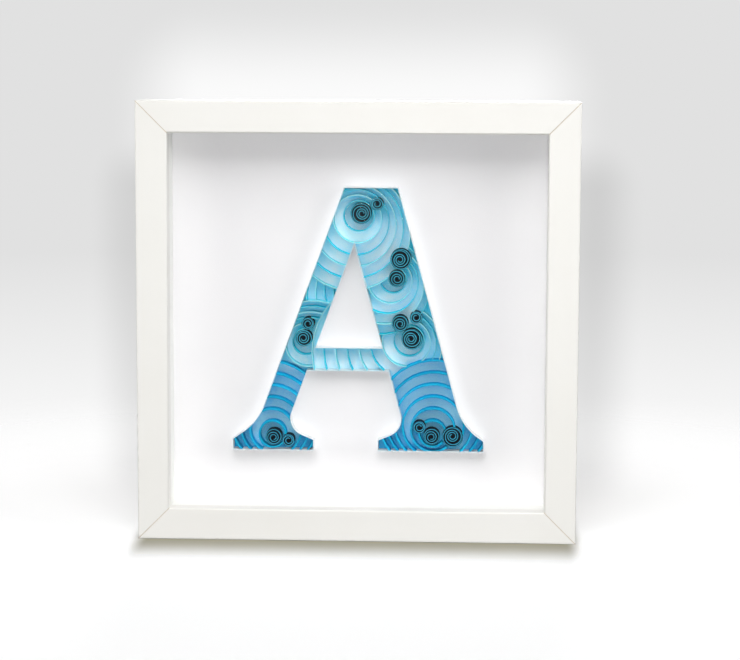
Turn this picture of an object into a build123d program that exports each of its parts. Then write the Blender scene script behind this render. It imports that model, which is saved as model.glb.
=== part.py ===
from build123d import *

import os
from math import cos, pi, radians, sin, sqrt, tan

# A quilled paper letter A standing on a white card inside a deep white box frame.
#
# Four mitred rails carry a stack in their rebate: clear pane, spacer strips, the card with the
# quilling, and a back panel that steel points hold in. The letter is made of paper strips that
# stand on edge on the card: outline strips, curved ripple strips and tightly rolled coils.
#
# Axes: X to the viewer's right, Y from the front face to the back, Z up. Millimetres.
# Origin: the middle of the frame's underside.

# Box frame
frame_size = 250.0  # outside, square
frame_depth = 45.0
face_width = 18.0  # front face of a rail
rail_wall = 11.0  # side wall behind the lip
lip_depth = 9.5  # lip in front of the pane
arris = 0.8  # rounding of the wrapped edges
mitre_groove = 0.5  # width of the fine line where two rails meet

# Stack in the rebate, from front to back
rebate_gap = 0.4  # play round the pane, the spacers, the card and the panel
pane_thickness = 1.5
spacer_depth = 16.0
spacer_setback = 0.5  # spacer's inner face behind the edge of the lip
card_thickness = 1.5
panel_thickness = 3.0

# Steel points that hold the panel, and the nails in the mitres
point_width = 8.0
point_thickness = 0.6
point_reach = 10.0  # over the panel
point_embed = 7.0  # in the rail
point_tip = 3.0  # length of the sharpened end
point_spacing = 120.0  # between the two points of a rail
nail_leg = 5.5
nail_thickness = 0.5
nail_height = 10.0
nail_inset = 3.5  # from the outside of the frame

# Saw-tooth hanger with prongs pressed into the panel
hanger_length = 44.0
hanger_width = 10.0
hanger_thickness = 0.8
hanger_foot = 9.0  # flat end with its two prongs
hanger_bridge = 2.2  # height of the raised middle above the panel
hanger_drop = 45.0  # below the top of the frame
tooth_count = 7
tooth_depth = 2.2
prong_width = 2.0
prong_length = 2.4
prong_inset = 2.0  # from the corners of the flat end

# Letter, measured on the outside of its outline strip
letter_height = 152.0
top_width = 31.0
top_shift = 7.0  # middle of the top edge, right of the letter's middle
ankle_height = 37.0  # where the sides of the legs are measured
ankle_left = -50.5
ankle_right = 54.0
thin_leg = 17.8  # level width of the left leg
thick_leg = 34.0  # level width of the right leg
bar_height = 46.5  # underside of the cross bar above the base line
bar_thickness = 13.5
left_foot = (-72.5, -25.5)
right_foot = (11.3, 72.5)
serif_height = 6.5
outer_bracket_angle = 35.0
outer_bracket_radius = 32.0
inner_bracket_angle = 23.0
inner_bracket_radius = 10.0

# Paper strips
strip_height = 8.0  # width of the paper, standing out from the card
outline_thickness = 0.4
body_thickness = 0.5  # ripple strips of the letter's body
foot_thickness = 1.0  # laminated ripple strips of the feet
strip_gap = 0.05  # glue line between two strips
shortest_strip = 4.0
coil_touch = 0.6  # from a coil to the middle of the first ripple, where they lie closest
ripple_pitch = 5.0  # from one ripple's radius to the next
ripple_drift = 2.0  # from one ripple's centre to the next
ripple_facets = 34  # short bends in a full turn of a ripple, as fingers shape the paper

# Rolled coils
coil_large = 6.2  # radii
coil_medium = 5.0
coil_small = 3.8
coil_spacing = 0.4  # between neighbours in a trail
coil_seat = 2.0  # lowest coils of the feet above the outline strip
crown_drop = 14.5  # first coil of the crown below the top
crown_shift = 1.0  # and right of the letter's middle
coil_pitch = 1.15  # from one turn to the next
coil_wall = 0.7  # a turn, of several plies
coil_eye = 0.9  # radius of the hole left by the winding tool
facets_per_turn = 13
golden_turn = 137.5  # each coil ends at another angle

# Levels along Y
front_y = -frame_depth / 2
back_y = frame_depth / 2
pane_y = front_y + lip_depth
spacer_y = pane_y + pane_thickness
card_y = spacer_y + spacer_depth
panel_y = card_y + card_thickness
point_y = panel_y + panel_thickness

half = frame_size / 2
rebate_size = frame_size - 2 * rail_wall
sheet_size = rebate_size - 2 * rebate_gap
letter_z = half - letter_height / 2  # base line of the letter
middle = Axis((0, 0, half), (0, 1, 0))

nodes = {}


def face_plane(y):
    """Plane parallel to the frame's face at depth y, drawn in X and Z, with its normal to the front."""
    return Plane(origin=(0, y, 0), x_dir=(1, 0, 0), z_dir=(0, -1, 0))


def stand(sketch, y, depth):
    """Solid that stands out from depth y towards the front."""
    return extrude(face_plane(y) * sketch, amount=depth, dir=(0, -1, 0))


def round_frame(shape):
    """The shape at the bottom of the frame and its three turns about the frame's middle."""
    return {
        "bottom": shape,
        "right": shape.rotate(middle, -90),
        "top": shape.rotate(middle, 180),
        "left": shape.rotate(middle, 90),
    }


def mitred(shape):
    """Cuts a bar that lies along the bottom of the frame to the frame's two lower mitres."""
    quarter = Polygon((-half, 0), (half, 0), (0, half), align=None)
    return shape & stand(quarter, back_y, frame_depth)


# Nails across the mitres


def corner_nail():
    """L-shaped nail in the lower left mitre: one leg in each rail, flush with the back."""
    near = nail_inset - nail_thickness / 2
    far = nail_inset + nail_thickness / 2
    tip = nail_inset + nail_leg
    legs = Polygon((near, near), (tip, near), (tip, far), (far, far), (far, tip), (near, tip), align=None)
    return stand(Pos(-half, 0) * legs, back_y, nail_height)


# Points that hold the panel


def retaining_point(x):
    """Flat steel point driven into the bottom rail, lying on the back of the panel."""
    end = rail_wall - point_embed
    outline = Polygon(
        (x - point_width / 2, rail_wall + point_reach),
        (x - point_width / 2, end + point_tip),
        (x, end),
        (x + point_width / 2, end + point_tip),
        (x + point_width / 2, rail_wall + point_reach),
        align=None,
    )
    return stand(outline, point_y + point_thickness, point_thickness)


# Rails


def rail():
    """Bottom rail: an L-shaped moulding with eased edges, mitred and grooved at its ends."""
    profile = Polygon(
        (front_y, 0),
        (back_y, 0),
        (back_y, rail_wall),
        (pane_y, rail_wall),
        (pane_y, face_width),
        (front_y, face_width),
        align=None,
    )
    eased = [(front_y, 0), (front_y, face_width)]
    corners = [profile.vertices().sort_by_distance(Vector(*at))[0] for at in eased]
    bar = extrude(Plane.YZ * fillet(corners, arris), amount=half, both=True)
    groove = Box(4 * face_width, mitre_groove / sqrt(2), mitre_groove / sqrt(2))
    for side in (-1, 1):
        bar -= Pos(side * half, front_y, 0) * Rot(0, side * 45, 0) * Rot(45, 0, 0) * groove
    return mitred(bar)


def frame_rails():
    """Four rails, cut out where the nails and points are driven in."""
    nails = list(round_frame(corner_nail()).values())
    points = []
    for x in (-point_spacing / 2, point_spacing / 2):
        points += round_frame(retaining_point(x)).values()
    for side, bar in round_frame(rail()).items():
        for driven in nails + points:
            bar -= driven
        nodes[f"rail_{side}"] = bar
    nodes["corner_nails"] = Compound(nails)
    nodes["retaining_points"] = Compound(points)


# Stack in the rebate


def spacer():
    """Bottom spacer strip, mitred, between the pane and the card."""
    low = rail_wall + rebate_gap
    high = face_width - spacer_setback
    strip = Polygon((-half, low), (half, low), (half, high), (-half, high), align=None)
    return mitred(stand(strip, card_y, spacer_depth))


def sheet(y, thickness):
    """Square sheet that lies in the rebate, from depth y to the back."""
    square = Pos(0, half) * Rectangle(sheet_size, sheet_size)
    return stand(square, y + thickness, thickness)


def prongs():
    """Four prongs of the hanger, from its flat ends into the panel."""
    x = hanger_length / 2 - prong_inset
    z = hanger_width / 2 - prong_inset
    blade = Rectangle(hanger_thickness, prong_width)
    middle_z = frame_size - hanger_drop
    corners = [(-x, -z), (-x, z), (x, -z), (x, z)]
    return [stand(Pos(px, middle_z + pz) * blade, point_y, prong_length) for px, pz in corners]


def hanger():
    """Bent steel strip with a raised middle, a toothed lower edge and prongs."""
    rise = hanger_bridge
    end = hanger_length / 2
    foot = end - hanger_foot
    bent = Polyline((-end, 0), (-foot, 0), (rise - foot, rise), (foot - rise, rise), (foot, 0), (end, 0))
    wall = make_face(offset(bent, hanger_thickness, side=Side.LEFT, kind=Kind.INTERSECTION))
    low = frame_size - hanger_drop - hanger_width / 2
    level = Plane(origin=(0, point_y, low), x_dir=(1, 0, 0), z_dir=(0, 0, 1))
    strip = extrude(level * wall, amount=hanger_width, dir=(0, 0, 1))
    pitch = 2 * (foot - 2 * rise) / tooth_count
    notch = Polygon((-pitch / 2, 0), (pitch / 2, 0), (0, tooth_depth), align=None)
    reach = 2 * (rise + hanger_thickness)
    for i in range(tooth_count):
        x = (i - (tooth_count - 1) / 2) * pitch
        strip -= stand(Pos(x, low) * notch, point_y + reach, reach)
    for prong in prongs():
        strip += prong
    return strip


def box_stack():
    """Pane, spacers, card, back panel and hanger."""
    nodes["glazing_pane"] = sheet(pane_y, pane_thickness)
    for side, strip in round_frame(spacer()).items():
        nodes[f"spacer_{side}"] = strip
    nodes["backing_card"] = sheet(card_y, card_thickness)
    panel = sheet(panel_y, panel_thickness)
    for prong in prongs():
        panel -= prong
    nodes["back_panel"] = panel
    nodes["sawtooth_hanger"] = hanger()


# Letter, drawn in X and Z with its base line at zero

top_left = (top_shift - top_width / 2, letter_height)
top_right = (top_shift + top_width / 2, letter_height)
bar_top = bar_height + bar_thickness


def left_x(z, inset=0.0):
    """Left edge of the left leg at height z, moved right by inset."""
    lean = (top_left[0] - ankle_left) / (letter_height - ankle_height)
    return top_left[0] - (letter_height - z) * lean + inset


def right_x(z, inset=0.0):
    """Right edge of the right leg at height z, moved left by inset."""
    lean = (ankle_right - top_right[0]) / (letter_height - ankle_height)
    return top_right[0] + (letter_height - z) * lean - inset


def bracket_corner(tip_x, angle, side_at):
    """Point where a serif's top, rising at angle from its tip, meets the side of a leg."""
    x0, x1 = side_at(0), side_at(letter_height)
    lean = (x1 - x0) / letter_height
    way = 1 if x0 > tip_x else -1
    run = (x0 + lean * serif_height - tip_x) * way / (1 - way * lean * tan(radians(angle)))
    return (tip_x + way * run, serif_height + run * tan(radians(angle)))


def letter_face():
    """Outline of the slab-serif capital, with rounded brackets above its feet."""
    brackets = {
        "right_out": bracket_corner(right_foot[1], outer_bracket_angle, right_x),
        "right_in": bracket_corner(right_foot[0], inner_bracket_angle, lambda z: right_x(z, thick_leg)),
        "left_in": bracket_corner(left_foot[1], inner_bracket_angle, lambda z: left_x(z, thin_leg)),
        "left_out": bracket_corner(left_foot[0], outer_bracket_angle, left_x),
    }
    outline = Polygon(
        top_left,
        top_right,
        brackets["right_out"],
        (right_foot[1], serif_height),
        (right_foot[1], 0),
        (right_foot[0], 0),
        (right_foot[0], serif_height),
        brackets["right_in"],
        (right_x(bar_height, thick_leg), bar_height),
        (left_x(bar_height, thin_leg), bar_height),
        brackets["left_in"],
        (left_foot[1], serif_height),
        (left_foot[1], 0),
        (left_foot[0], 0),
        (left_foot[0], serif_height),
        brackets["left_out"],
        align=None,
    )
    for place, corner in brackets.items():
        radius = outer_bracket_radius if place.endswith("out") else inner_bracket_radius
        outline = fillet(outline.vertices().sort_by_distance(Vector(*corner))[0], radius)
    return outline


def counter_face():
    """The triangle inside the letter, above the cross bar."""
    left_lean = left_x(1) - left_x(0)
    right_lean = right_x(1) - right_x(0)
    apex_z = (right_x(0, thick_leg) - left_x(0, thin_leg)) / (left_lean - right_lean)
    return Polygon(
        (left_x(apex_z, thin_leg), apex_z),
        (left_x(bar_top, thin_leg), bar_top),
        (right_x(bar_top, thick_leg), bar_top),
        align=None,
    )


def in_left_leg(rise, share):
    """Point at a rise along the left leg, from bar to top, and a share across it from outside."""
    z = bar_top + rise * (letter_height - bar_top)
    return (left_x(z) + share * thin_leg, z)


def in_right_leg(rise, share):
    """Point at a rise along the right leg, from bar to top, and a share across it from outside."""
    z = bar_top + rise * (letter_height - bar_top)
    return (right_x(z) - share * thick_leg, z)


def coil_places():
    """Centre and radius of each coil: trails of touching coils, each set out from the one before."""
    radii = {"large": coil_large, "medium": coil_medium, "small": coil_small}
    low = outline_thickness + coil_seat
    crown = (crown_shift, letter_height - crown_drop)
    left_sole = ((left_foot[0] + left_foot[1]) / 2, low + coil_medium)
    right_sole = ((right_foot[0] + right_foot[1]) / 2 + 2 * coil_large, low + coil_large)
    trails = [
        ("crown", crown, "large", [("small", 28)]),
        ("shoulder", in_right_leg(0.56, 0.27), "large", [("medium", -104)]),
        ("right_leg", in_right_leg(0.055, 0.45), "large", [("medium", 126), ("small", 20)]),
        ("left_leg", in_left_leg(0.055, 0.52), "medium", [("small", 78)]),
        ("left_foot", left_sole, "medium", [("small", -8)]),
        ("right_foot", right_sole, "large", [("medium", 180), ("small", 140)]),
    ]
    places = {}
    for trail, centre, size, rest in trails:
        places[f"{trail}_{size}"] = (centre, radii[size])
        for next_size, angle in rest:
            reach = radii[size] + coil_spacing + radii[next_size]
            step = (reach * cos(radians(angle)), reach * sin(radians(angle)))
            centre = (centre[0] + step[0], centre[1] + step[1])
            size = next_size
            places[f"{trail}_{size}"] = (centre, radii[size])
    return places


def ripple_sets(coils):
    """Centre, first radius, count, drift angle and two papers of each set of ripples.

    A set lies over those after it, which end against its outer strip.
    """
    body, foot = ("teal", "aqua"), ("blue", "sky")
    fan = (in_right_leg(0.43, 1.0), 2 * ripple_pitch)
    rows = [
        (coils["left_foot_medium"], 6, 100, foot),
        (coils["right_foot_medium"], 6, 84, foot),
        (coils["crown_large"], 6, -116, body),
        (coils["shoulder_medium"], 5, -150, body),
        (coils["right_leg_large"], 8, -150, body),
        (coils["left_leg_medium"], 6, -64, body),
        (fan, 6, -90, body),
    ]
    for (centre, radius), count, angle, papers in rows:
        yield centre, radius + ripple_drift + coil_touch, count, angle, papers


def coil(centre, radius, start):
    """Strip wound from the eye outwards: an even spiral with a narrow gap between turns."""
    inner = coil_eye + coil_wall / 2
    outer = radius - coil_wall / 2
    turns = (outer - inner) / coil_pitch
    steps = round(turns * facets_per_turn)
    shares = [i / steps for i in range(steps + 1)]
    spiral = [(inner + (outer - inner) * t, start + 2 * pi * turns * t) for t in shares]

    def edge(side):
        return [((r + side) * cos(a), (r + side) * sin(a)) for r, a in spiral]

    ribbon = Polygon(*edge(coil_wall / 2), *reversed(edge(-coil_wall / 2)), align=None)
    return stand(Pos(centre[0], letter_z + centre[1]) * ribbon, card_y, strip_height)


def quilling():
    """Outline strips, coils and ripples of the letter."""
    letter, counter = letter_face(), counter_face()
    base = Pos(0, letter_z)
    inside = offset(letter, -outline_thickness, kind=Kind.INTERSECTION)
    around = offset(counter, outline_thickness, kind=Kind.INTERSECTION)
    nodes["outline_strip"] = stand(base * (letter - inside), card_y, strip_height)
    nodes["counter_strip"] = stand(base * (around - counter), card_y, strip_height)

    wall = outline_thickness + strip_gap
    free = offset(letter, -wall, kind=Kind.INTERSECTION)
    free -= offset(counter, wall, kind=Kind.INTERSECTION)
    coils = coil_places()
    for i, (name, (centre, radius)) in enumerate(coils.items()):
        nodes[f"coil_{name}"] = coil(centre, radius, radians(i * golden_turn))
        free -= Pos(*centre) * Circle(radius + strip_gap)

    thickness = {"teal": body_thickness, "aqua": body_thickness}
    thickness |= {"blue": foot_thickness, "sky": foot_thickness}
    strips = {paper: [] for paper in thickness}
    for centre, first, count, angle, papers in ripple_sets(coils):
        for i in range(count):
            paper = papers[i % len(papers)]
            drift = (i + 1) * ripple_drift
            at = Pos(centre[0] + drift * cos(radians(angle)), centre[1] + drift * sin(radians(angle)))
            outer = first + i * ripple_pitch + thickness[paper] / 2
            disc = at * RegularPolygon(outer, ripple_facets)
            ring = (disc - at * RegularPolygon(outer - thickness[paper], ripple_facets)) & free
            strips[paper] += [f for f in ring.faces() if f.area > shortest_strip * thickness[paper]]
        free -= at * Circle(outer + strip_gap)
    for paper, faces in strips.items():
        nodes[f"{paper}_ripples"] = Compound([stand(base * f, card_y, strip_height) for f in faces])


frame_rails()
box_stack()
quilling()

os.makedirs("parts", exist_ok=True)
for name, shape in nodes.items():
    export_step(shape, f"parts/{name}.step")
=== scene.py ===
"""Looks of a quilled paper letter in a deep white box frame.

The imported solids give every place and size. Rails, card and coils are built again as finer surfaces,
the paper strips are the solids' own shapes with smooth curves and cut edges, and the rest is dressed.
Axes: X to the viewer's right, Y from the front to the back, Z up. Metres.
"""

import logging
from dataclasses import dataclass, field
from enum import Enum
from math import cos, pi, radians, sin

import bpy
import numpy as np
from bpy.types import ID, Material, Node, NodeSocket, NodeTree, Object, World
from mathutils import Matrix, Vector
from mathutils.geometry import delaunay_2d_cdt


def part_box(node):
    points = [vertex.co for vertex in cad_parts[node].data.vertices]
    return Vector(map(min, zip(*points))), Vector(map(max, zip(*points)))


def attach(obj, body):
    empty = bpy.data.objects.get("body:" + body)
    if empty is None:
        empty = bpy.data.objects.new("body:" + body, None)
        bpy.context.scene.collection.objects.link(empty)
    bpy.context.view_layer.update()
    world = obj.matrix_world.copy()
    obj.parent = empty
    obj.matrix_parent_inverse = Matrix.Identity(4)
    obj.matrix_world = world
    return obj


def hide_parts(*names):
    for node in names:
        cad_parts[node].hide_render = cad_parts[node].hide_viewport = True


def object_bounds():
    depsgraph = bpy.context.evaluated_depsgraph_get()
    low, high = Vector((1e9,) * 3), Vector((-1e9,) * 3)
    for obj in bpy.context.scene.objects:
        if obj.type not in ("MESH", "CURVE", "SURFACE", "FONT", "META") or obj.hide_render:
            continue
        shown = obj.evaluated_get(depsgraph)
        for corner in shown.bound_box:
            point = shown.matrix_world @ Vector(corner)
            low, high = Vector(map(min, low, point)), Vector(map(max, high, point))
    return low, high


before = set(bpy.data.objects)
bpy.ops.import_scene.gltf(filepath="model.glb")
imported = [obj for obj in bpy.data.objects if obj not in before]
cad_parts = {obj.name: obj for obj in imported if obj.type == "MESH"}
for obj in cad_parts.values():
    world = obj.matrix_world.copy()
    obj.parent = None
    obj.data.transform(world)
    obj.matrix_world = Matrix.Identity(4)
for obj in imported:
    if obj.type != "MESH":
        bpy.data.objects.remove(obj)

CAD_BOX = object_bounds()
MM = 0.001
GRAIN = 0.001 * MM  # points nearer than this are merged
LEVEL = 0.01 * MM  # depths nearer than this count as one
CREASE = 40.0  # degrees above which an edge stays sharp
NOISE_SPAN = (0.3, 0.7)  # values between which a noise texture mostly lies
BODY = "root"
OUTLINES = ("outline_strip", "counter_strip")
COILS = sorted(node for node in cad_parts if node.startswith("coil_"))
LOG = logging.getLogger("framed_letter")


class Side(Enum):
    """Sides of the frame, with the quarter turns that carry the bottom rail there."""

    BOTTOM = 0
    RIGHT = 1
    TOP = 2
    LEFT = 3

    @property
    def node(self) -> str:
        """Last word of the node names on this side."""
        return self.name.lower()


class CoilSize(Enum):
    """Coil sizes: outside radius, and the slack that the outer turns keep after the roll is let go."""

    LARGE = (5.95 * MM, 0.8 * MM)
    MEDIUM = (4.75 * MM, 0.4 * MM)
    SMALL = (3.55 * MM, 0.1 * MM)


# Small tools for colours, shader nodes and meshes


def linear(colour: str) -> tuple[float, float, float, float]:
    """Turns an sRGB hex colour into linear red, green, blue and alpha.

    Args:
        colour: Six hex digits after a hash.

    Returns:
        Linear colour with an alpha of one.
    """
    channels = np.array([int(colour[i:i + 2], 16) for i in (1, 3, 5)]) / 255
    low = channels / 12.92
    high = ((channels + 0.055) / 1.055) ** 2.4
    return (*np.where(channels <= 0.04045, low, high).tolist(), 1.0)


def add_node(
    tree: NodeTree, kind: str, inputs: dict[str | int, object] | None = None, **settings: object
) -> Node:
    """Adds one shader node with its settings, values and links.

    Args:
        tree: Tree that gets the node.
        kind: Blender's name of the node, after ShaderNode.
        inputs: Value, or socket to link, for each input by its name or number.
        settings: Properties of the node.

    Returns:
        The new node.
    """
    made = tree.nodes.new(f"ShaderNode{kind}")
    for name, value in settings.items():
        setattr(made, name, value)
    for key, value in (inputs or {}).items():
        if isinstance(value, NodeSocket):
            tree.links.new(value, made.inputs[key])
        else:
            made.inputs[key].default_value = value
    return made


def empty_nodes(owner: Material | World) -> NodeTree:
    """Switches the nodes of a material or world on and clears them.

    Args:
        owner: Material or world.

    Returns:
        Its empty tree.
    """
    owner.use_nodes = True
    owner.node_tree.nodes.clear()
    return owner.node_tree


def put_in_scene(name: str, data: ID) -> Object:
    """Makes an object and links it to the scene.

    Args:
        name: Name of the object.
        data: Its mesh, lamp or camera.

    Returns:
        The object, at the origin.
    """
    made = bpy.data.objects.new(name, data)
    bpy.context.scene.collection.objects.link(made)
    return made


def swept_faces(rows: int, columns: int) -> list[list[int]]:
    """Lists the faces of a closed profile that is carried along a path.

    A quad is a point, its right neighbour, the next station of that, and its own next station.

    Args:
        rows: Stations along the path.
        columns: Points round the profile.

    Returns:
        Point numbers of each quad, station by station, and of the caps at the first and last one.
    """
    row, column = np.meshgrid(np.arange(rows - 1), np.arange(columns), indexing="ij")
    right = (column + 1) % columns
    near, far = row * columns, (row + 1) * columns
    quads = np.stack([near + column, near + right, far + right, far + column], axis=-1)
    loop = np.arange(columns)
    caps = np.stack([loop[::-1], loop + (rows - 1) * columns])
    return quads.reshape(-1, 4).tolist() + caps.tolist()


def make_piece(
    name: str,
    points: np.ndarray,
    faces: list[list[int]],
    marks: dict[str, np.ndarray],
    finish: "Finish",
    node: str,
    uv: np.ndarray | None = None,
) -> Object:
    """Puts a surface into a dressed object that rides on the frame's body in a solid's place.

    Args:
        name: Name of the piece.
        points: Places of the vertices, in metres.
        faces: Point numbers of each face, facing outwards.
        marks: Number for each face, by the attribute's name.
        finish: Finish of the piece.
        node: Name of the solid that it replaces.
        uv: Coordinates in metres for each point, if a pattern follows the surface.

    Returns:
        The piece, linked to the scene.
    """
    mesh = bpy.data.meshes.new(name)
    mesh.from_pydata(points.tolist(), [], faces)
    for mark, values in marks.items():
        mesh.attributes.new(mark, "FLOAT", "FACE").data.foreach_set("value", values.astype(np.float32))
    if uv is not None:
        corners = np.empty(len(mesh.loops), np.int32)
        mesh.loops.foreach_get("vertex_index", corners)
        mesh.uv_layers.new(name="UVMap").uv.foreach_set("vector", uv[corners].astype(np.float32).ravel())
    mesh.shade_smooth()
    mesh.set_sharp_from_angle(angle=radians(CREASE))
    piece = put_in_scene(name, mesh)
    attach(piece, BODY)
    finish.dress(piece)
    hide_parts(node)
    return piece


# Finishes


@dataclass(frozen=True)
class Finish:
    """A material of one Principled shader, made once and kept by its name."""

    name: str
    slot: str

    def material(self) -> Material:
        """Makes the material, or finds it if it was made before.

        Returns:
            The material, with its shader linked to its output.
        """
        made = bpy.data.materials.get(self.name)
        if made is None:
            made = bpy.data.materials.new(self.name)
            tree = empty_nodes(made)
            shader = self.shade(tree)
            add_node(tree, "OutputMaterial", {"Surface": shader.outputs["BSDF"]})
        return made

    def shade(self, tree: NodeTree) -> Node:
        """Builds the shader of the finish.

        Args:
            tree: Empty nodes of the material.

        Returns:
            The Principled shader.
        """
        raise NotImplementedError

    def dress(self, piece: Object) -> None:
        """Gives a new piece this finish."""
        piece.data.materials.append(self.material())

    def dress_node(self, node: str) -> None:
        """Gives a solid that stays in view this finish."""
        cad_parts[node].material_slots[0].material = self.material()


@dataclass(frozen=True)
class FoilFinish(Finish):
    """White melamine foil on fibreboard: satin, with a faint printed pore along the rail.

    The eye gets a warm white that is almost even, soft highlights along the eased edges, and the tan
    core of the board as a hairline where the foil was cut at the mitres.
    """

    light: str = "#EDECE8"
    shade_tone: str = "#E8E6E0"
    core: str = "#CFC3B0"
    pore_length: float = 14 * MM
    pore_width: float = 0.9 * MM  # coarser than the foil's own pore, so that it shows
    cloud: float = 60 * MM
    relief: float = 0.02 * MM
    gloss: tuple[float, float] = (0.34, 0.46)  # roughness from pore to pore

    def shade(self, tree: NodeTree) -> Node:
        """Builds a clouded white, with the board's core at the cuts and a pore in its gloss and relief.

        Args:
            tree: Empty nodes of the material.

        Returns:
            The Principled shader.
        """
        place = add_node(tree, "TexCoord")
        scale = (1 / self.pore_length, 1 / self.pore_width, 1.0)
        along = add_node(tree, "Mapping", {"Vector": place.outputs["UV"], "Scale": scale})
        pore = add_node(tree, "TexNoise", {"Vector": along.outputs[0], "Scale": 1.0, "Detail": 3.0})
        cloud_in = {"Vector": place.outputs["Object"], "Scale": 1 / self.cloud, "Detail": 2.0}
        cloud = add_node(tree, "TexNoise", cloud_in)
        tone_in = {0: cloud.outputs[0], 6: linear(self.shade_tone), 7: linear(self.light)}
        tone = add_node(tree, "Mix", tone_in, data_type="RGBA")
        cut = add_node(tree, "Attribute", attribute_name="core")
        colour_in = {0: cut.outputs["Fac"], 6: tone.outputs[2], 7: linear(self.core)}
        colour = add_node(tree, "Mix", colour_in, data_type="RGBA")
        span = dict(enumerate(NOISE_SPAN + self.gloss, start=1))
        gloss = add_node(tree, "MapRange", {0: pore.outputs[0], **span})
        relief_in = {"Height": pore.outputs[0], "Strength": 0.5, "Distance": self.relief}
        relief = add_node(tree, "Bump", relief_in)
        surface = {
            "Base Color": colour.outputs[2],
            "Roughness": gloss.outputs[0],
            "Normal": relief.outputs[0],
            "IOR": 1.5,
        }
        return add_node(tree, "BsdfPrincipled", surface)


@dataclass(frozen=True)
class CardFinish(Finish):
    """Smooth white mount board or wrapped strip: matt, with a faint cloud of fibres."""

    light: str = "#F4F3F4"
    dark: str = "#EFEEF0"
    fibre: float = 0.8 * MM
    cloud: float = 25 * MM
    relief: float = 0.02 * MM

    def shade(self, tree: NodeTree) -> Node:
        """Builds a clouded white with a relief of fibres.

        Args:
            tree: Empty nodes of the material.

        Returns:
            The Principled shader.
        """
        place = add_node(tree, "TexCoord").outputs["Object"]
        cloud = add_node(tree, "TexNoise", {"Vector": place, "Scale": 1 / self.cloud, "Detail": 4.0})
        fibre = add_node(tree, "TexNoise", {"Vector": place, "Scale": 1 / self.fibre, "Detail": 2.0})
        tone_in = {0: cloud.outputs[0], 6: linear(self.dark), 7: linear(self.light)}
        tone = add_node(tree, "Mix", tone_in, data_type="RGBA")
        relief_in = {"Height": fibre.outputs[0], "Strength": 0.2, "Distance": self.relief}
        relief = add_node(tree, "Bump", relief_in)
        surface = {
            "Base Color": tone.outputs[2],
            "Roughness": 0.85,
            "Specular IOR Level": 0.2,
            "Normal": relief.outputs[0],
        }
        return add_node(tree, "BsdfPrincipled", surface)


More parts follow.
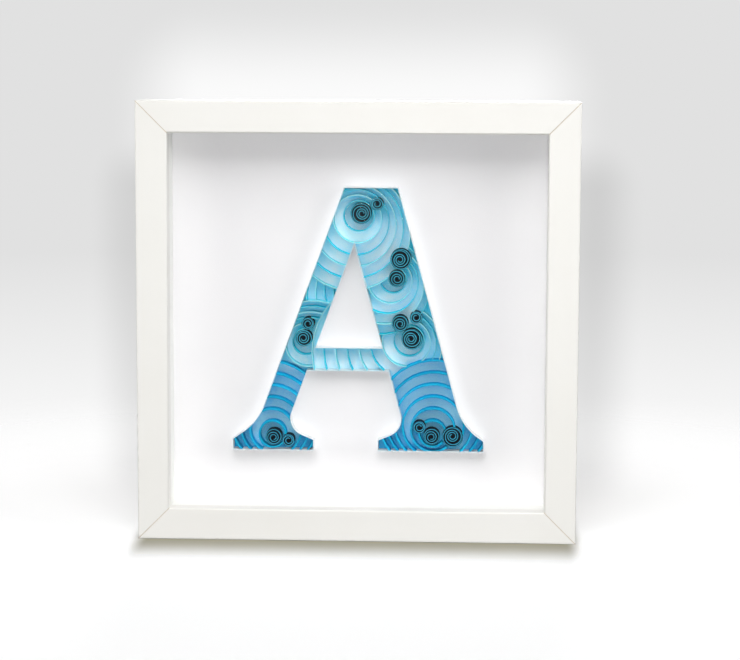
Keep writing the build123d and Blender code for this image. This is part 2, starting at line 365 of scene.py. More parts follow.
@dataclass(frozen=True)
class PrintedCardFinish(CardFinish):
    """White mount board with a wash on the letter's ground: painted shade, aqua above and blue in the feet.

    The wash is painted shade at the bottom of each gap, deep where the strips crowd and below each strip,
    and pale where they leave the card open to the light from above; the feet stay bluer where open. Under
    the coils the card is painted dark, as their shade.
    """

    body: tuple[str, str] = ("#28E0FE", "#FFFFFF")  # tones in painted shade and where open, as for the foot
    foot: tuple[str, str] = ("#00B0E8", "#B4EEFA")
    dark_ground: str = "#03222E"  # painted shade under the coils
    crowd: float = 10 * MM  # how far the painted shade looks round for strips
    looks: int = 8  # rays by which it does so
    crowded: tuple[float, float] = (0.08, 0.26)  # free share of the view straight out, from deep painted shade to pale
    tilt: float = 60.0  # degrees by which the painted shade looks up, toward the light from above, for the strips that hide it
    sheltered: tuple[float, float] = (0.06, 0.18)  # free share of that view, from deep painted shade to pale
    fade: tuple[float, float] = (96 * MM, 100 * MM)  # heights between which the feet pass into the body
    rise: float = 0.07  # by which the right foot reaches higher than the left, for each millimetre between
    legs: tuple[float, float] = (22 * MM, 28 * MM)  # from the middle, where the bar passes into the legs
    bar_lift: float = 8 * MM  # by which the feet reach less high at the bar

    def shade(self, tree: NodeTree) -> Node:
        """Builds the board's shader and lays the wash of painted shade over its colour.

        Args:
            tree: Empty nodes of the material.

        Returns:
            The Principled shader.
        """
        shader = super().shade(tree)
        board = shader.inputs["Base Color"].links[0].from_socket
        # Painted shade: deep where strips crowd round a spot or hide it from the light above, pale where it
        # lies open
        painted_crowd_shade = add_node(tree, "AmbientOcclusion", {"Distance": self.crowd}, samples=self.looks)
        upward = (0.0, -cos(radians(self.tilt)), sin(radians(self.tilt)))
        aim = add_node(tree, "CombineXYZ", dict(enumerate(upward)))
        shelter_in = {"Distance": self.crowd, "Normal": aim.outputs[0]}
        shelter = add_node(tree, "AmbientOcclusion", shelter_in, samples=self.looks)
        lit_in = {0: shelter.outputs["AO"], 1: self.sheltered[0], 2: self.sheltered[1]}
        lit = add_node(tree, "MapRange", lit_in)
        free = add_node(tree, "MapRange", {0: painted_crowd_shade.outputs["AO"], 1: self.crowded[0], 2: self.crowded[1]})
        painted_light_share = add_node(tree, "Math", {0: lit.outputs[0], 1: free.outputs[0]}, operation="MULTIPLY")
        # Painted dark shade under the coils
        rolled = add_node(tree, "Attribute", attribute_name="under_coil")
        washes = []
        for deep, pale in (self.body, self.foot):
            wash_in = {0: painted_light_share.outputs[0], 6: linear(deep), 7: linear(pale)}
            washes.append(add_node(tree, "Mix", wash_in, data_type="RGBA").outputs[2])
        place = add_node(tree, "TexCoord").outputs["Object"]
        spot = add_node(tree, "SeparateXYZ", {0: place})
        aside = add_node(tree, "Math", {0: spot.outputs["X"]}, operation="ABSOLUTE").outputs[0]
        bar_in = {0: aside, 1: self.legs[0], 2: self.legs[1], 3: self.bar_lift, 4: 0.0}
        bar = add_node(tree, "MapRange", bar_in)
        lifted = add_node(tree, "Math", {0: bar.outputs[0], 1: spot.outputs["Z"]}, operation="ADD")
        height_in = {0: spot.outputs["X"], 1: -self.rise, 2: lifted.outputs[0]}
        height = add_node(tree, "Math", height_in, operation="MULTIPLY_ADD").outputs[0]
        foot = add_node(tree, "MapRange", {0: height, 1: self.fade[1], 2: self.fade[0]}).outputs[0]
        wash = add_node(tree, "Mix", {0: foot, 6: washes[0], 7: washes[1]}, data_type="RGBA")
        depth_in = {0: rolled.outputs["Fac"], 6: wash.outputs[2], 7: linear(self.dark_ground)}
        depth = add_node(tree, "Mix", depth_in, data_type="RGBA")
        ground = add_node(tree, "Attribute", attribute_name="print")
        colour_in = {0: ground.outputs["Fac"], 6: board, 7: depth.outputs[2]}
        colour = add_node(tree, "Mix", colour_in, data_type="RGBA")
        tree.links.new(colour.outputs[2], shader.inputs["Base Color"])
        return shader


@dataclass(frozen=True)
class PaperFinish(Finish):
    """Quilling paper: matt sides, and a line of another tone along the cut edge at the front; on the coils
    the sides are painted shade.
    """

    side: str = "#FFFFFF"
    edge: str = "#FFFFFF"
    spread: float = 0.12  # how far the tone of one strip may lie from the next
    fibre: float = 0.5 * MM
    mottle: tuple[float, float] = (0.94, 1.04)  # brightness of the fibres
    relief: float = 0.02 * MM
    glow: float = 0.9  # share of the light that passes into the paper
    light_path: float = 1.4 * MM  # how far it spreads there

    def shade(self, tree: NodeTree) -> Node:
        """Builds a tone for each strip, another one for its cut edge, and a mottle of fibres.

        Args:
            tree: Empty nodes of the material.

        Returns:
            The Principled shader.
        """
        place = add_node(tree, "TexCoord").outputs["Object"]
        fibre = add_node(tree, "TexNoise", {"Vector": place, "Scale": 1 / self.fibre, "Detail": 3.0})
        cut = add_node(tree, "Attribute", attribute_name="cut_edge")
        colour_in = {0: cut.outputs["Fac"], 6: linear(self.side), 7: linear(self.edge)}
        colour = add_node(tree, "Mix", colour_in, data_type="RGBA")
        strip = add_node(tree, "Attribute", attribute_name="tone")
        tone_in = {0: strip.outputs["Fac"], 3: 1 - self.spread, 4: 1 + self.spread}
        tone = add_node(tree, "MapRange", tone_in)
        span = dict(enumerate(NOISE_SPAN + self.mottle, start=1))
        mottle = add_node(tree, "MapRange", {0: fibre.outputs[0], **span})
        value = add_node(tree, "Math", {0: tone.outputs[0], 1: mottle.outputs[0]}, operation="MULTIPLY")
        dyed = add_node(tree, "HueSaturation", {"Color": colour.outputs[2], "Value": value.outputs[0]})
        relief_in = {"Height": fibre.outputs[0], "Strength": 0.25, "Distance": self.relief}
        relief = add_node(tree, "Bump", relief_in)
        surface = {
            "Base Color": dyed.outputs[0],
            "Roughness": 0.8,
            "Specular IOR Level": 0.04,
            "Subsurface Weight": self.glow,
            "Subsurface Radius": (1.0, 1.0, 1.0),
            "Subsurface Scale": self.light_path,
            "Normal": relief.outputs[0],
        }
        return add_node(tree, "BsdfPrincipled", surface)


@dataclass(frozen=True)
class HardboardFinish(Finish):
    """Pressed brown hardboard: short dark fibres in a tan ground, smooth with a dull sheen."""

    ground: str = "#A27B55"
    dark: str = "#7C5A3B"
    fibre_length: float = 5 * MM
    fibre_width: float = 0.7 * MM
    layers: tuple[float, float] = (25.0, -40.0)  # degrees by which the fibres of each layer are turned
    cover: tuple[float, float] = (0.12, 0.38)  # product of the layers, from dark fibre to ground
    relief: float = 0.05 * MM

    def shade(self, tree: NodeTree) -> Node:
        """Builds two crossed layers of fibres in the ground.

        Args:
            tree: Empty nodes of the material.

        Returns:
            The Principled shader.
        """
        place = add_node(tree, "TexCoord").outputs["Object"]
        noises = []
        for turn in self.layers:
            scale = (1 / self.fibre_length, 1 / self.fibre_length, 1 / self.fibre_width)
            turned_in = {"Vector": place, "Rotation": (0.0, radians(turn), 0.0), "Scale": scale}
            turned = add_node(tree, "Mapping", turned_in)
            noise_in = {"Vector": turned.outputs[0], "Scale": 1.0, "Detail": 4.0}
            noises.append(add_node(tree, "TexNoise", noise_in).outputs[0])
        both = add_node(tree, "Math", dict(enumerate(noises)), operation="MULTIPLY")
        fibre = add_node(tree, "MapRange", {0: both.outputs[0], 1: self.cover[0], 2: self.cover[1]})
        tone_in = {0: fibre.outputs[0], 6: linear(self.dark), 7: linear(self.ground)}
        tone = add_node(tree, "Mix", tone_in, data_type="RGBA")
        relief_in = {"Height": fibre.outputs[0], "Strength": 0.3, "Distance": self.relief}
        relief = add_node(tree, "Bump", relief_in)
        surface = {"Base Color": tone.outputs[2], "Roughness": 0.55, "Normal": relief.outputs[0]}
        return add_node(tree, "BsdfPrincipled", surface)


@dataclass(frozen=True)
class SteelFinish(Finish):
    """Zinc plated sheet steel: bright grey with a soft spangle and fine scuffs."""

    bright: str = "#C9C9C6"
    dull: str = "#A5A6A4"
    spangle: float = 2 * MM
    scuff: float = 0.5 * MM
    gloss: tuple[float, float] = (0.28, 0.45)  # roughness of clear and scuffed zinc

    def shade(self, tree: NodeTree) -> Node:
        """Builds a spangled metal with scuffs in its gloss.

        Args:
            tree: Empty nodes of the material.

        Returns:
            The Principled shader.
        """
        place = add_node(tree, "TexCoord").outputs["Object"]
        spangle = add_node(tree, "TexVoronoi", {"Vector": place, "Scale": 1 / self.spangle})
        scuff = add_node(tree, "TexNoise", {"Vector": place, "Scale": 1 / self.scuff, "Detail": 4.0})
        tone_in = {0: spangle.outputs["Distance"], 6: linear(self.bright), 7: linear(self.dull)}
        tone = add_node(tree, "Mix", tone_in, data_type="RGBA")
        span = dict(enumerate(NOISE_SPAN + self.gloss, start=1))
        gloss = add_node(tree, "MapRange", {0: scuff.outputs[0], **span})
        surface = {"Base Color": tone.outputs[2], "Roughness": gloss.outputs[0], "Metallic": 1.0}
        return add_node(tree, "BsdfPrincipled", surface)


@dataclass(frozen=True)
class AcrylicFinish(Finish):
    """Clear polished acrylic sheet: almost unseen, with a trace of dust."""

    tint: str = "#F4F9FB"
    dust: float = 6 * MM
    cover: float = 0.004  # how much of what lies behind it hides
    gloss: tuple[float, float] = (0.02, 0.08)  # roughness of clean and dusty sheet

    def shade(self, tree: NodeTree) -> Node:
        """Builds a sheet that is almost clear, with dust in its gloss.

        Args:
            tree: Empty nodes of the material.

        Returns:
            The Principled shader.
        """
        place = add_node(tree, "TexCoord").outputs["Object"]
        dust = add_node(tree, "TexNoise", {"Vector": place, "Scale": 1 / self.dust, "Detail": 3.0})
        gloss = add_node(tree, "MapRange", {0: dust.outputs[0], 3: self.gloss[0], 4: self.gloss[1]})
        surface = {
            "Base Color": linear(self.tint),
            "Roughness": gloss.outputs[0],
            "IOR": 1.49,
            "Alpha": self.cover,
        }
        return add_node(tree, "BsdfPrincipled", surface)


FOIL = FoilFinish("white_foil_on_fibreboard", "rail_foil")
WRAP = CardFinish("white_paper_wrap", "spacer_foil", light="#FBFBF8", dark="#F6F6F3")
CARD = PrintedCardFinish("printed_mount_board", "white_card")
HARDBOARD = HardboardFinish("pressed_hardboard", "hardboard")
STEEL = SteelFinish("zinc_plated_steel", "zinc_steel")
ACRYLIC = AcrylicFinish("clear_acrylic_sheet", "clear_acrylic")
OUTLINE_PAPER = PaperFinish(
    "white_outline_paper", "outline_paper", side="#EEF6F9", edge="#DCECF3", spread=0.0)
RIPPLE_PAPERS = {
    "teal": PaperFinish("teal_quilling_paper", "teal_paper", side="#1AD6F8", edge="#6CCEE4"),
    "aqua": PaperFinish("pale_aqua_quilling_paper", "aqua_paper", side="#7CECFC", edge="#A4E8F4"),
    "blue": PaperFinish("deep_blue_quilling_paper", "blue_paper", side="#00ACE0", edge="#08A8D0"),
    "sky": PaperFinish("sky_blue_quilling_paper", "sky_paper", side="#0CB8EA", edge="#16B0DA"),
}
# Coil sides near black: painted shade of the tight gaps between the turns; the cut edges keep the petrol
# tone.
COIL_PAPER = PaperFinish(
    "petrol_quilling_paper", "petrol_paper", side="#01222E", edge="#46AAC4", spread=0.1, glow=0.0)
FOOT_COIL_PAPER = PaperFinish(
    "deep_petrol_quilling_paper", "petrol_paper", side="#022634", edge="#3A9CBC", spread=0.1, glow=0.0)


# Box frame


@dataclass
class BoxFrame:
    """Four foil-wrapped rails, mitred at the corners.

    A rail is its L-shaped profile carried along the side: a profile point at distance d from the outside
    runs from mitre to mitre, so its half length is half the frame less d. Near a mitre the front drops
    into a fine groove by what a point lies nearer to the mitre than the groove's half width.
    """

    wall: float = 11.0 * MM  # side wall behind the lip
    arris: float = 0.8 * MM  # rounding of the wrapped edges
    margin: float = 0.2 * MM  # strip beside an arris, so that the flats shade flat
    groove: float = 0.2 * MM  # half width and depth of the line at a mitre
    facets: int = 6  # of an arris
    finish: FoilFinish = FOIL
    half: float = field(init=False)  # half the outside width
    face: float = field(init=False)  # width of a rail's face
    front: float = field(init=False)  # depths of the front, the back and the rebate
    back: float = field(init=False)
    rebate: float = field(init=False)

    def __post_init__(self) -> None:
        """Reads the frame's sizes from its solids."""
        low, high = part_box("rail_bottom")
        self.half = high.x
        self.face = high.z
        self.front = low.y
        self.back = high.y
        self.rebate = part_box("glazing_pane")[0].y

    def profile(self) -> np.ndarray:
        """Works out the L-shaped profile, with quarter circles at the two front edges.

        Returns:
            Distance from the outside and depth of each point of the closed loop.
        """
        turn = np.linspace(0, pi / 2, self.facets + 1)
        inset = self.arris * (1 - np.cos(turn))
        depth = self.arris * (1 - np.sin(turn))
        inset = np.concatenate([[0], inset, [self.arris + self.margin]])
        depth = np.concatenate([[self.arris + self.margin], depth, [0]])
        outer = np.stack([inset, self.front + depth], axis=1)
        inner = outer[::-1] * (-1, 1) + (self.face, 0)
        start = [(0, self.back)]
        rest = [(self.face, self.rebate), (self.wall, self.rebate), (self.wall, self.back)]
        return np.concatenate([start, outer, inner, rest])

    def rail(self, side: Side) -> Object:
        """Builds and dresses one rail.

        Args:
            side: Side of the frame that it lies on.

        Returns:
            The rail, closed at both mitres.
        """
        inset, level = self.profile().T
        groove_run = self.groove * np.sqrt(2)
        from_mitre = np.array([0, groove_run, groove_run, 0])
        way = np.array([-1, -1, 1, 1])
        along = way[:, None] * (self.half - inset - from_mitre[:, None])
        drop = self.groove - from_mitre / np.sqrt(2)
        depth = np.maximum(level, self.front + drop[:, None])
        flat = np.stack([along, np.broadcast_to(inset - self.half, along.shape)], axis=-1)
        angle = side.value * pi / 2
        turned = flat @ np.array([[cos(angle), sin(angle)], [-sin(angle), cos(angle)]])
        points = np.stack([turned[..., 0], depth, turned[..., 1] + self.half], axis=-1).reshape(-1, 3)
        rows, columns = along.shape
        faces = [face[::-1] for face in swept_faces(rows, columns)]
        row, column = np.divmod(np.arange((rows - 1) * columns), columns)
        on_front = (column >= 1) & (column < columns - 4)  # all but sides, rebate and wall
        core = np.concatenate([(row != 1) & on_front, [True, True]]).astype(float)
        run = np.concatenate([[0], np.cumsum(np.hypot(np.diff(inset), np.diff(level)))])
        uv = np.stack([along + side.value, np.broadcast_to(run, along.shape)], axis=-1).reshape(-1, 2)
        name, node = f"foil_rail_{side.node}", f"rail_{side.node}"
        return make_piece(name, points, faces, {"core": core}, self.finish, node, uv)

    def build(self) -> list[Object]:
        """Builds and dresses the four rails and returns them."""
        return [self.rail(side) for side in Side]


# Stack in the rebate and the steel fixings


@dataclass
class Stack:
    """Pane, spacers and panel in the rebate, with the fixings at the back: solids that stay in view."""

    finishes: dict[str, Finish] = field(default_factory=lambda: {
        "glazing_pane": ACRYLIC,
        **{f"spacer_{side.node}": WRAP for side in Side},
        "back_panel": HARDBOARD,
        "retaining_points": STEEL,
        "corner_nails": STEEL,
        "sawtooth_hanger": STEEL,
    })

    def dress(self) -> list[str]:
        """Gives each solid its finish.

        Returns:
            Names of the solids.
        """
        for node, finish in self.finishes.items():
            finish.dress_node(node)
        return list(self.finishes)


# Paper strips that stand on edge


def welded(node: str) -> tuple[np.ndarray, np.ndarray]:
    """Merges a solid's loose triangles.

    Args:
        node: Name of the solid.

    Returns:
        Places of the merged points, and three point numbers for each triangle.
    """
    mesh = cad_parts[node].data
    places = np.empty(3 * len(mesh.vertices), np.float32)
    mesh.vertices.foreach_get("co", places)
    corners = np.empty(len(mesh.loops), np.int32)
    mesh.loops.foreach_get("vertex_index", corners)
    keys = np.round(places.reshape(-1, 3) / GRAIN).astype(np.int64)
    points, number = np.unique(keys, axis=0, return_inverse=True)
    triangles = number.ravel()[corners].reshape(-1, 3)
    whole = (triangles != np.roll(triangles, 1, axis=1)).all(axis=1)
    return points * GRAIN, triangles[whole]


def connected(groups: np.ndarray, count: int) -> np.ndarray:
    """Numbers what hangs together: the lowest point number spreads through each group until all rest.

    Args:
        groups: Point numbers of each edge or triangle.
        count: Number of points.

    Returns:
        Number of the connected part that each point belongs to.
    """
    label = np.arange(count)
    while True:
        spread = label.copy()
        np.minimum.at(spread, groups, label[groups].min(axis=1, keepdims=True))
        if np.array_equal(spread, label):
            return np.unique(label, return_inverse=True)[1].ravel()
        label = spread


@dataclass
class PrintedCard:
    """Card with a wash of painted shade on the letter's ground at its front.

    The front is cut into triangles along the outer rims of the outline strips' feet and along the circles
    that the coils stand on. A triangle lies inside such lines if a level line from its middle to the right
    crosses them an odd number of times: inside the rims it gets the wash, inside a circle the painted dark
    shade of the coil.
    """

    node: str = "backing_card"
    strips: tuple[str, str] = OUTLINES
    facets: int = 24  # of the circle under a coil
    digits: int = 7  # of a metre that tell the points of the cuts apart
    finish: PrintedCardFinish = CARD

    @staticmethod
    def rim(node: str) -> np.ndarray:
        """Finds the outer rim of a closed strip's foot: of its two rings of open edges, the wider.

        Args:
            node: Name of the strip.

        Returns:
            X and Z of the two ends of each edge.
        """
        points, triangles = welded(node)
        foot = triangles[(points[triangles, 1] > points[:, 1].max() - LEVEL).all(axis=1)]
        sides = np.stack([foot, np.roll(foot, -1, axis=1)], axis=-1).reshape(-1, 2)
        pairs, uses = np.unique(np.sort(sides, axis=1), axis=0, return_counts=True)
        edges = pairs[uses == 1]
        ring = connected(edges, len(points))[edges[:, 0]]
        widest = max(np.unique(ring), key=lambda one: np.ptp(points[edges[ring == one], 0]))
        return points[edges[ring == widest]][..., (0, 2)]

    def circles(self) -> np.ndarray:
        """Lays a circle under each coil: its middle plus its radius times cosine and sine of the angle.

        Returns:
            X and Z of the two ends of each edge.
        """
        boxes = np.array([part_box(node) for node in COILS])[..., (0, 2)]
        middle = boxes.mean(axis=1)[:, None]
        radius = np.ptp(boxes, axis=1)[:, None] / 2
        angle = np.linspace(0, 2 * pi, self.facets + 1)
        points = middle + radius * np.stack([np.cos(angle), np.sin(angle)], axis=-1)
        return np.stack([points[:, :-1], points[:, 1:]], axis=2).reshape(-1, 2, 2)

    @staticmethod
    def inside(middle: np.ndarray, edges: np.ndarray) -> np.ndarray:
        """Counts the edges that a level line from each point to the right crosses.

        Args:
            middle: X and Z of the points that the lines start from.
            edges: X and Z of the two ends of each edge.

        Returns:
            One for a point inside the edges' loops, nought for one outside.
        """
        (x, z), (next_x, next_z) = edges[:, 0].T, edges[:, 1].T
        spans = (z > middle[:, 1:]) != (next_z > middle[:, 1:])
        rise = np.where(next_z == z, 1, next_z - z)
        right = x + (middle[:, 1:] - z) / rise * (next_x - x) > middle[:, :1]
        return (spans & right).sum(axis=1) % 2

    def build(self) -> Object:
        """Builds and dresses the card.

        Returns:
            The card, with the triangles of its wash and of its painted coil shade marked.
        """
        low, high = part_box(self.node)
        corners = np.array([(low.x, low.z), (high.x, low.z), (high.x, high.z), (low.x, high.z)])
        rims = np.concatenate([self.rim(node) for node in self.strips])
        circles = self.circles()
        ends = np.concatenate([rims, circles]).reshape(-1, 2)
        spots, number = np.unique(np.round(ends, self.digits), axis=0, return_inverse=True)
        lines = number.ravel().reshape(-1, 2) + len(corners)
        seeds = list(map(Vector, np.concatenate([corners, spots])))
        cut = delaunay_2d_cdt(seeds, lines.tolist(), [], 0, 10.0 ** -self.digits)
        flat, front = np.array(cut[0]), np.array(cut[2])
        middle = flat[front].mean(axis=1)
        ahead = np.abs(flat[:, None] - corners).sum(axis=2).argmin(axis=0)
        behind = np.arange(len(corners)) + len(flat)
        sides = np.stack([ahead, behind, np.roll(behind, -1), np.roll(ahead, -1)], axis=1)
        places = np.concatenate([flat, corners])
        depth = np.where(np.arange(len(places)) < len(flat), low.y, high.y)
        points = np.stack([places[:, 0], depth, places[:, 1]], axis=1)
        faces = front.tolist() + sides.tolist() + [behind[::-1].tolist()]
        bare = np.zeros(len(sides) + 1)
        marks = {
            "print": np.concatenate([self.inside(middle, rims), bare]),
            "under_coil": np.concatenate([self.inside(middle, circles), bare]),
        }
        return make_piece("printed_card", points, faces, marks, self.finish, self.node)


@dataclass
class PaperStrips:
    """Strips of one paper: the solids' own shapes, welded so that their curves shade smoothly.

    Each strip of a group gets its own tone, and its cut edge stands a little lower or higher than the next.
    """

    node: str
    finish: PaperFinish
    unevenness: float = 0.25 * MM
    facing: float = 0.9  # cosine to the front above which a face counts as cut edge

    def build(self) -> Object:
        """Builds and dresses the strips.

        Returns:
            One piece with all strips of the group.
        """
        points, triangles = welded(self.node)
        strip = connected(triangles, len(points))
        golden = (np.sqrt(5) - 1) / 2
        tone = (strip * golden) % 1
        front = points[:, 1] < points[:, 1].min() + LEVEL
        points[front, 1] += self.unevenness * tone[front]
        corner = points[triangles]
        normal = np.cross(corner[:, 1] - corner[:, 0], corner[:, 2] - corner[:, 0])
        cut = -normal[:, 1] > self.facing * np.linalg.norm(normal, axis=1)
        marks = {"cut_edge": cut.astype(float), "tone": tone[triangles[:, 0]]}
        return make_piece(f"paper_{self.node}", points, triangles.tolist(), marks, self.finish, self.node)


@dataclass
class Coil:
    """One rolled coil: a strip wound from the eye outwards.

    The outer edge of the strip grows by one pitch a turn, and over the loose turns by the slack as well,
    until it meets the coil's radius, where it stays for about one more turn. The inner edge lies one wall
    inside it, but never inside the turn below, so the end feathers out. The tight roll sits off the middle
    by a share of the slack, as a roll does when it is let go, so the gap inside the last turn is a crescent.
    Both front edges are chamfered, by a third of the strip at most.
    """

    node: str
    number: int
    finish: PaperFinish
    pitch: float = 1.2 * MM
    wall: float = 0.78 * MM
    eye: float = 0.75 * MM
    chamfer: float = 0.17 * MM
    loose_turns: float = 1.2
    off_centre: float = 0.7  # share of the slack
    last_turn: float = 0.97  # how far the strip runs on after it meets the coil's radius
    stations: int = 44  # in a turn
    unevenness: float = 0.3 * MM
    tone_step: float = 0.618  # from one coil to the next, and back to nought above one
    start_step: float = 137.5  # degrees between the starts of one coil and the next
    middle: tuple[float, float] = field(init=False)  # X and Z
    card: float = field(init=False)  # depth of the card's face
    height: float = field(init=False)
    radius: float = field(init=False)
    slack: float = field(init=False)

    def __post_init__(self) -> None:
        """Reads the coil's place and height from its solid, and its size from its name."""
        low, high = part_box(self.node)
        self.middle = ((low.x + high.x) / 2, (low.z + high.z) / 2)
        self.card, self.height = high.y, high.y - low.y
        self.radius, self.slack = CoilSize[self.node.rsplit("_", 1)[1].upper()].value

    def edge(self, turn: np.ndarray, turns: float) -> tuple[np.ndarray, np.ndarray]:
        """Works out the spiral that the strip's outer edge follows.

        Args:
            turn: Turns from the eye.
            turns: Turns at which the edge meets the coil's radius.

        Returns:
            Radius of the outer edge, and how far the roll still sits off the middle.
        """
        loose = np.clip((turn - turns + self.loose_turns) / self.loose_turns, 0, 1)
        loose = loose * loose * (3 - 2 * loose)
        radius = self.eye + self.wall + self.pitch * np.clip(turn, 0, turns) + self.slack * loose
        return radius, self.off_centre * self.slack * (1 - loose)

    def build(self) -> Object:
        """Builds and dresses the coil.

        Returns:
            The coil, with its cut edge marked.
        """
        tone = (self.number * self.tone_step) % 1
        turns = (self.radius - self.eye - self.wall - self.slack) / self.pitch
        turn = np.linspace(0, turns + self.last_turn, round((turns + 1) * self.stations))
        outer, shift = self.edge(turn, turns)
        below, _ = self.edge(turn - 1, turns)
        inner = np.where(turn < 1, outer - self.wall, np.maximum(outer - self.wall, below))
        eased = np.minimum(self.chamfer, (outer - inner) / 3)
        top = self.height - self.unevenness * tone
        reach = np.stack([inner, inner, inner + eased, outer - eased, outer, outer], axis=1)
        foot, brow, crest = np.zeros_like(turn), top - eased, np.full_like(turn, top)
        up = np.stack([foot, brow, crest, crest, brow, foot], axis=1)
        start = radians(self.start_step) * self.number
        angle = (start + 2 * pi * turn)[:, None]
        x = self.middle[0] + (shift * cos(start))[:, None] + reach * np.cos(angle)
        z = self.middle[1] + (shift * sin(start))[:, None] + reach * np.sin(angle)
        points = np.stack([x, self.card - up, z], axis=-1).reshape(-1, 3)
        rows, columns = x.shape
        column = np.arange((rows - 1) * columns) % columns
        cut = np.concatenate([column == 2, [False, False]]).astype(float)  # between the two chamfers
        marks = {"cut_edge": cut, "tone": np.full(len(cut), tone)}
        faces = swept_faces(rows, columns)
        return make_piece(f"paper_{self.node}", points, faces, marks, self.finish, self.node)


# Studio


@dataclass(frozen=True)
class Panel:
    """One soft square lamp that is aimed at the middle of the frame."""

    name: str
    swing: float  # degrees to the right of the front
    rise: float  # degrees above the level
    distance: float  # metres, as is the size
    size: float
    power: float  # watts

    def hang(self, aim: Vector) -> None:
        """Puts the lamp into the scene.

        Args:
            aim: Point that it is aimed at.
        """
        lamp = bpy.data.lights.new(self.name, "AREA")
        lamp.size = self.size
        lamp.energy = self.power
        made = put_in_scene(self.name, lamp)
        level, up = cos(radians(self.rise)), sin(radians(self.rise))
        away = Vector((level * sin(radians(self.swing)), -level * cos(radians(self.swing)), up))
        made.location = aim + away * self.distance
        made.rotation_euler = away.to_track_quat("Z", "Y").to_euler()


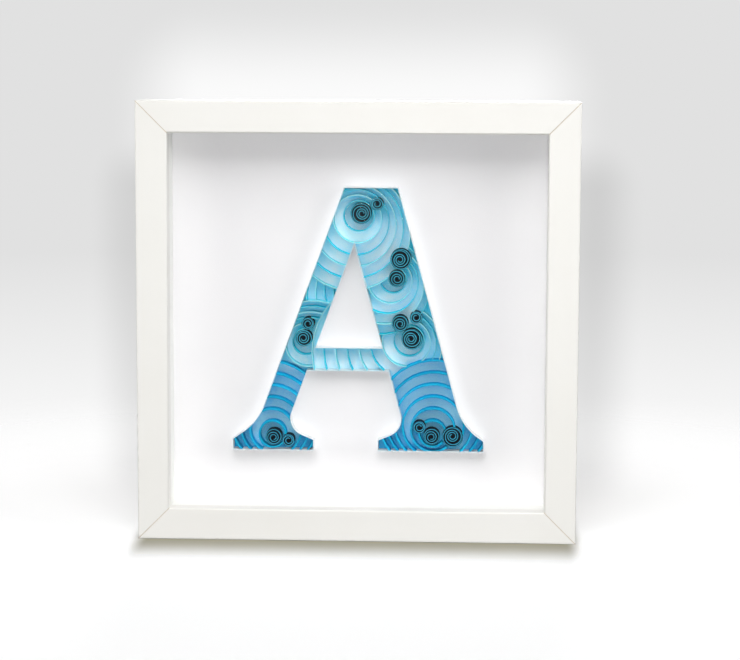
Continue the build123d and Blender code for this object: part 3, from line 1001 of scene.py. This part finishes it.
@dataclass
class Studio:
    """Pale floor, soft shade behind the frame, soft light and the camera."""

    eye: tuple[float, float, float] = (0.0649, -1.2694, 0.2725)
    turn: tuple[float, float, float] = (83.113, -0.2332, 2.658)  # degrees about X, Y and Z
    lens: float = 108.4  # millimetres, as is the sensor
    sensor: float = 36.0
    floor_half: float = 4.0
    floor_tone: str = "#F4F4F4"
    floor_lift: float = 0.31  # glow that whitens the floor, to the camera alone
    bounce: str = "#808080"  # tone in which the floor throws light back
    fade: tuple[float, float] = (0.2, 0.6)  # distance over which the floor passes into the backdrop
    contact: str = "#A6A291"  # painted shadow on the floor close to the frame
    contact_reach: float = 60 * MM
    contact_inset: float = 6 * MM  # from the sides of the frame
    contact_ends: float = 5.0  # how much faster the shade fades past the sides than in front
    sky: float = 0.06
    backdrop: str = "#E1E1E1"
    ground: str = "#FDFDFD"
    ground_dip: tuple[float, float] = (-0.085, -0.18)  # downward looks over which the backdrop pales
    glow: str = "#FBFBFB"  # of the wall above the frame, where its top throws light back
    # Middle and half sizes of the glow, as slopes of the look across and up
    glow_place: tuple[float, float, float, float] = (-0.051, -0.115, 0.069, 0.098)
    glow_spread: float = 0.045
    veil: str = "#E8E8E8"  # tone of the soft shade round the frame, by which what lies behind is dimmed
    # Middle and half sizes of the shade, in metres across and up
    veil_place: tuple[float, float, float, float] = (0.0023, 0.1185, 0.1297, 0.0785)
    veil_spread: float = 34 * MM
    veil_gap: float = 4 * MM  # behind the frame
    panels: tuple[Panel, ...] = (
        Panel("key_panel", swing=0.0, rise=48.0, distance=7.0, size=5.0, power=330.0),
        Panel("front_panel", swing=0.5, rise=0.5, distance=2.4, size=0.36, power=18.0),
        Panel("right_panel", swing=65.0, rise=12.0, distance=2.0, size=0.9, power=14.0),
        Panel("left_panel", swing=-65.0, rise=12.0, distance=2.0, size=0.9, power=9.5),
        Panel("back_panel", swing=0.0, rise=155.0, distance=1.8, size=0.6, power=11.0),
    )

    @staticmethod
    def apart(tree: NodeTree, spot: NodeSocket, place: tuple[float, ...], spread: float) -> NodeSocket:
        """Adds how far a spot lies from a rectangle, from nought inside it to one at the spread.

        Args:
            tree: Nodes to add to.
            spot: Vector of which X and Y are read.
            place: Middle and half sizes of the rectangle in X and Y.
            spread: Distance at which the value reaches one.

        Returns:
            Socket that carries the eased distance.
        """
        from_middle_in = {0: spot, 1: (place[0], place[1], 0.0)}
        from_middle = add_node(tree, "VectorMath", from_middle_in, operation="SUBTRACT")
        reach = add_node(tree, "VectorMath", {0: from_middle.outputs[0]}, operation="ABSOLUTE")
        past_in = {0: reach.outputs[0], 1: (place[2], place[3], 0.0)}
        past = add_node(tree, "VectorMath", past_in, operation="SUBTRACT")
        clear = add_node(tree, "VectorMath", {0: past.outputs[0]}, operation="MAXIMUM")
        flat_in = {0: clear.outputs[0], 1: (1.0, 1.0, 0.0)}
        flat = add_node(tree, "VectorMath", flat_in, operation="MULTIPLY")
        gap = add_node(tree, "VectorMath", {0: flat.outputs[0]}, operation="LENGTH")
        eased_in = {0: gap.outputs["Value"], 1: 0.0, 2: spread}
        return add_node(tree, "MapRange", eased_in, interpolation_type="SMOOTHSTEP").outputs[0]

    @staticmethod
    def sheet(name: str, finish: str, corners: np.ndarray) -> NodeTree:
        """Adds a flat four-cornered sheet to the scene.

        Args:
            name: Name of the sheet.
            finish: Name of its material.
            corners: Four points, counter-clockwise as seen from the side that counts.

        Returns:
            Empty nodes of the material.
        """
        mesh = bpy.data.meshes.new(name)
        mesh.from_pydata(corners.tolist(), [], [(0, 1, 2, 3)])
        material = bpy.data.materials.new(finish)
        mesh.materials.append(material)
        made = put_in_scene(name, mesh)
        return empty_nodes(material)

    def veil_sheet(self) -> None:
        """Builds the sheet behind the frame that paints a soft shade round it by dimming what is seen
        through it, from the front alone.
        """
        high = CAD_BOX[1]
        x = np.array([-1, 1, 1, -1]) * (self.veil_place[2] + 2 * self.veil_spread)
        z = np.array([0, 0, 1, 1]) * high.z + self.veil_gap
        corners = np.stack([x, np.full(4, high.y + self.veil_gap), z], axis=-1)
        tree = self.sheet("veil", "soft_wall_shade", corners)
        place = add_node(tree, "TexCoord").outputs["Object"]
        spot = add_node(tree, "SeparateXYZ", {0: place})
        upright = add_node(tree, "CombineXYZ", {0: spot.outputs["X"], 1: spot.outputs["Z"]})
        clear = self.apart(tree, upright.outputs[0], self.veil_place, self.veil_spread)
        camera = add_node(tree, "LightPath").outputs["Is Camera Ray"]
        other = add_node(tree, "Math", {0: 1.0, 1: camera}, operation="SUBTRACT")
        behind = add_node(tree, "NewGeometry").outputs["Backfacing"]
        unseen = add_node(tree, "Math", {0: other.outputs[0], 1: behind}, operation="MAXIMUM")
        gone = add_node(tree, "Math", {0: clear, 1: unseen.outputs[0]}, operation="MAXIMUM")
        tone_in = {0: gone.outputs[0], 6: linear(self.veil), 7: (1, 1, 1, 1)}
        tone = add_node(tree, "Mix", tone_in, data_type="RGBA")
        glass = add_node(tree, "BsdfTransparent", {"Color": tone.outputs[2]})
        add_node(tree, "OutputMaterial", {"Surface": glass.outputs[0]})

    def floor(self) -> None:
        """Builds the floor: a painted shadow close to the frame, else lifted to white, and faded into the
        backdrop.
        """
        x = np.array([-1, 1, 1, -1]) * self.floor_half
        y = np.array([-1, -1, 1, 1]) * self.floor_half
        tree = self.sheet("floor", "pale_paper_sweep", np.stack([x, y, np.zeros(4)], axis=-1))
        place = add_node(tree, "TexCoord").outputs["Object"]
        high = CAD_BOX[1]
        wide_in = {0: place, 1: (self.contact_ends, 1.0, 0.0)}
        wide = add_node(tree, "VectorMath", wide_in, operation="MULTIPLY")
        under = (0.0, 0.0, (high.x - self.contact_inset) * self.contact_ends, high.y)
        # Painted shadow of the frame on the floor: nought at the frame, one at the reach
        near = self.apart(tree, wide.outputs[0], under, self.contact_reach)
        camera = add_node(tree, "LightPath").outputs["Is Camera Ray"]
        shaded_in = {0: near, 6: linear(self.contact), 7: linear(self.floor_tone)}
        shaded = add_node(tree, "Mix", shaded_in, data_type="RGBA")
        tone_in = {0: camera, 6: linear(self.bounce), 7: shaded.outputs[2]}
        tone = add_node(tree, "Mix", tone_in, data_type="RGBA")
        paint = add_node(tree, "BsdfDiffuse", {"Color": tone.outputs[2]})
        lift = add_node(tree, "Math", {0: near, 1: self.floor_lift}, operation="MULTIPLY")
        seen = add_node(tree, "Math", {0: camera, 1: lift.outputs[0]}, operation="MULTIPLY")
        glow = add_node(tree, "Emission", {"Strength": seen.outputs[0]})
        lit = add_node(tree, "AddShader", {0: paint.outputs[0], 1: glow.outputs[0]})
        away = add_node(tree, "VectorMath", {0: place}, operation="LENGTH")
        fade_in = {0: away.outputs["Value"], 1: self.fade[0], 2: self.fade[1]}
        fade = add_node(tree, "MapRange", fade_in, interpolation_type="SMOOTHSTEP")
        hide = add_node(tree, "Math", {0: fade.outputs[0], 1: camera}, operation="MULTIPLY")
        gone = add_node(tree, "BsdfTransparent")
        sweep = add_node(tree, "MixShader", {0: hide.outputs[0], 1: lit.outputs[0], 2: gone.outputs[0]})
        add_node(tree, "OutputMaterial", {"Surface": sweep.outputs[0]})

    def surroundings(self) -> None:
        """Sets the world: a pale backdrop with a glow to the eye and in gloss, and an even sky as light."""
        world = bpy.data.worlds.new("soft_room")
        tree = empty_nodes(world)
        path = add_node(tree, "LightPath")
        seen_in = {0: path.outputs["Is Camera Ray"], 1: path.outputs["Is Glossy Ray"]}
        seen = add_node(tree, "Math", seen_in, operation="MAXIMUM")
        clear_in = {0: seen.outputs[0], 1: path.outputs["Is Transmission Ray"]}
        clear = add_node(tree, "Math", clear_in, operation="MAXIMUM")
        sky = add_node(tree, "Background", {"Color": (1, 1, 1, 1), "Strength": self.sky})
        way = add_node(tree, "TexCoord").outputs["Generated"]
        look = add_node(tree, "SeparateXYZ", {0: way})
        across = add_node(tree, "Math", {0: look.outputs["X"], 1: look.outputs["Y"]}, operation="DIVIDE")
        upward = add_node(tree, "Math", {0: look.outputs["Z"], 1: look.outputs["Y"]}, operation="DIVIDE")
        wall = add_node(tree, "CombineXYZ", {0: across.outputs[0], 1: upward.outputs[0]})
        above = self.apart(tree, wall.outputs[0], self.glow_place, self.glow_spread)
        low_in = {0: look.outputs["Z"], 1: self.ground_dip[0], 2: self.ground_dip[1]}
        low = add_node(tree, "MapRange", low_in)
        sweep_in = {0: low.outputs[0], 6: linear(self.backdrop), 7: linear(self.ground)}
        sweep = add_node(tree, "Mix", sweep_in, data_type="RGBA")
        tone_in = {0: above, 6: linear(self.glow), 7: sweep.outputs[2]}
        tone = add_node(tree, "Mix", tone_in, data_type="RGBA")
        shown = add_node(tree, "Background", {"Color": tone.outputs[2], "Strength": 1.0})
        pick = add_node(tree, "MixShader", {0: clear.outputs[0], 1: sky.outputs[0], 2: shown.outputs[0]})
        add_node(tree, "OutputWorld", {"Surface": pick.outputs[0]})
        bpy.context.scene.world = world

    def camera(self) -> None:
        """Sets the camera where the frame was photographed from."""
        data = bpy.data.cameras.new("viewer")
        data.sensor_width = self.sensor
        data.lens = self.lens
        made = put_in_scene("viewer", data)
        made.location = self.eye
        made.rotation_euler = [radians(angle) for angle in self.turn]
        bpy.context.scene.camera = made

    def build(self) -> None:
        """Builds the floor, the shade, the light and the camera."""
        self.floor()
        self.veil_sheet()
        self.surroundings()
        middle = sum(CAD_BOX, Vector()) / 2
        for panel in self.panels:
            panel.hang(middle)
        self.camera()
        bpy.context.scene.view_settings.view_transform = "Standard"


def main() -> None:
    """Builds each sub-assembly in order."""
    logging.basicConfig(level=logging.INFO, format="%(message)s")
    built = [*BoxFrame().build(), PrintedCard().build()]
    dressed = Stack().dress()
    built += [PaperStrips(node, OUTLINE_PAPER, unevenness=0.0).build() for node in OUTLINES]
    built += [PaperStrips(f"{paper}_ripples", finish).build() for paper, finish in RIPPLE_PAPERS.items()]
    for number, node in enumerate(COILS):
        finish = FOOT_COIL_PAPER if "foot" in node else COIL_PAPER
        built.append(Coil(node, number, finish).build())
    for piece in built:
        LOG.info("built %s: %d faces", piece.name, len(piece.data.polygons))
    for node in dressed:
        LOG.info("dressed %s", node)
    Studio().build()


if __name__ == "__main__":
    main()
